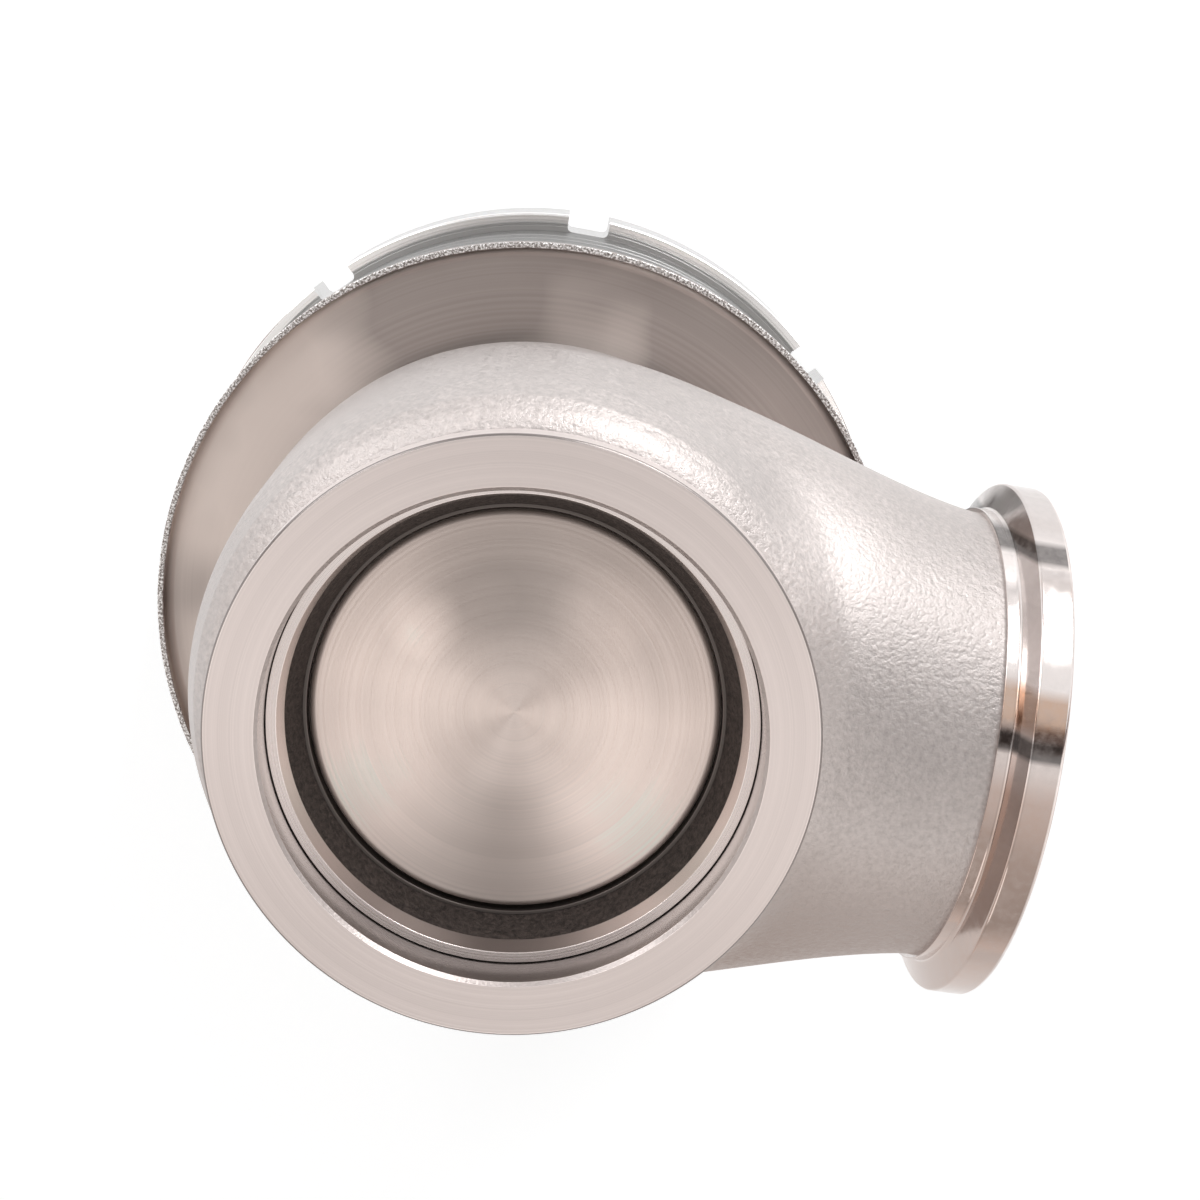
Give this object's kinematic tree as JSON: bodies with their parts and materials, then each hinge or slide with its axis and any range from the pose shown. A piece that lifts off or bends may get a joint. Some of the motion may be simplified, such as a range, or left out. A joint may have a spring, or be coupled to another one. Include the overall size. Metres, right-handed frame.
{
  "type": "turbo wastegate",
  "caption": "External turbocharger wastegate with V-band inlet and side outlet, a poppet valve on a guided stem, coil springs and a diaphragm actuator can.",
  "frame": {"origin": "centre of the inlet flange's face", "axes": "+Z straight out of the inlet along the valve's axis, +X towards the outlet branch, +Y completes the set; the part stands on its flat cap at the low end of Z"},
  "size_m": [0.1422, 0.129, 0.163],
  "materials": {
    "cast_body": "satin, bead blasted cast stainless steel",
    "seat": "fine turned",
    "valve": "turned stainless steel",
    "bonnet": "turned stainless steel",
    "guide": "machined bronze",
    "graphite": "matte",
    "shield": "spun and brushed sheet",
    "base": "satin machined",
    "cap": "satin machined",
    "collar": "polished",
    "fasteners": "fine",
    "elastomer": "matte",
    "springs": "semi gloss lacquer"
  },
  "bodies": {
    "housing": {"valve_body": "cast_body", "seat_insert": "seat", "guide_bonnet": "bonnet", "valve_guide": "guide", "guide_seal": "graphite", "body_gasket": "graphite", "heat_shield": "shield", "insulator_gasket": "graphite", "actuator_base": "base", "stem_bush": "guide", "stem_seal": "elastomer", "seal_circlip": "fasteners", "body_screws": "fasteners", "screw_washers": "fasteners", "port_plug": "fasteners", "diaphragm": "elastomer", "outer_spring": "springs", "middle_spring": "springs", "inner_spring": "springs", "actuator_cap": "cap", "locking_collar": "collar", "collar_lock_screw": "fasteners"},
    "valve_train": {"valve": "valve", "spring_cup": "base", "diaphragm_ring": "base", "diaphragm_screws": "fasteners", "stem_washer": "fasteners", "stem_nut": "fasteners"}
  },
  "joints": [
    {"name": "valve_lift", "type": "slide", "parent": "housing", "child": "valve_train", "axis": [0, 0, -1], "range_m": [0, 0.014], "stiffness_N_per_m": 20000, "springref_m": -0.035, "deforming": ["outer_spring", "middle_spring", "inner_spring", "diaphragm"]}
  ]
}
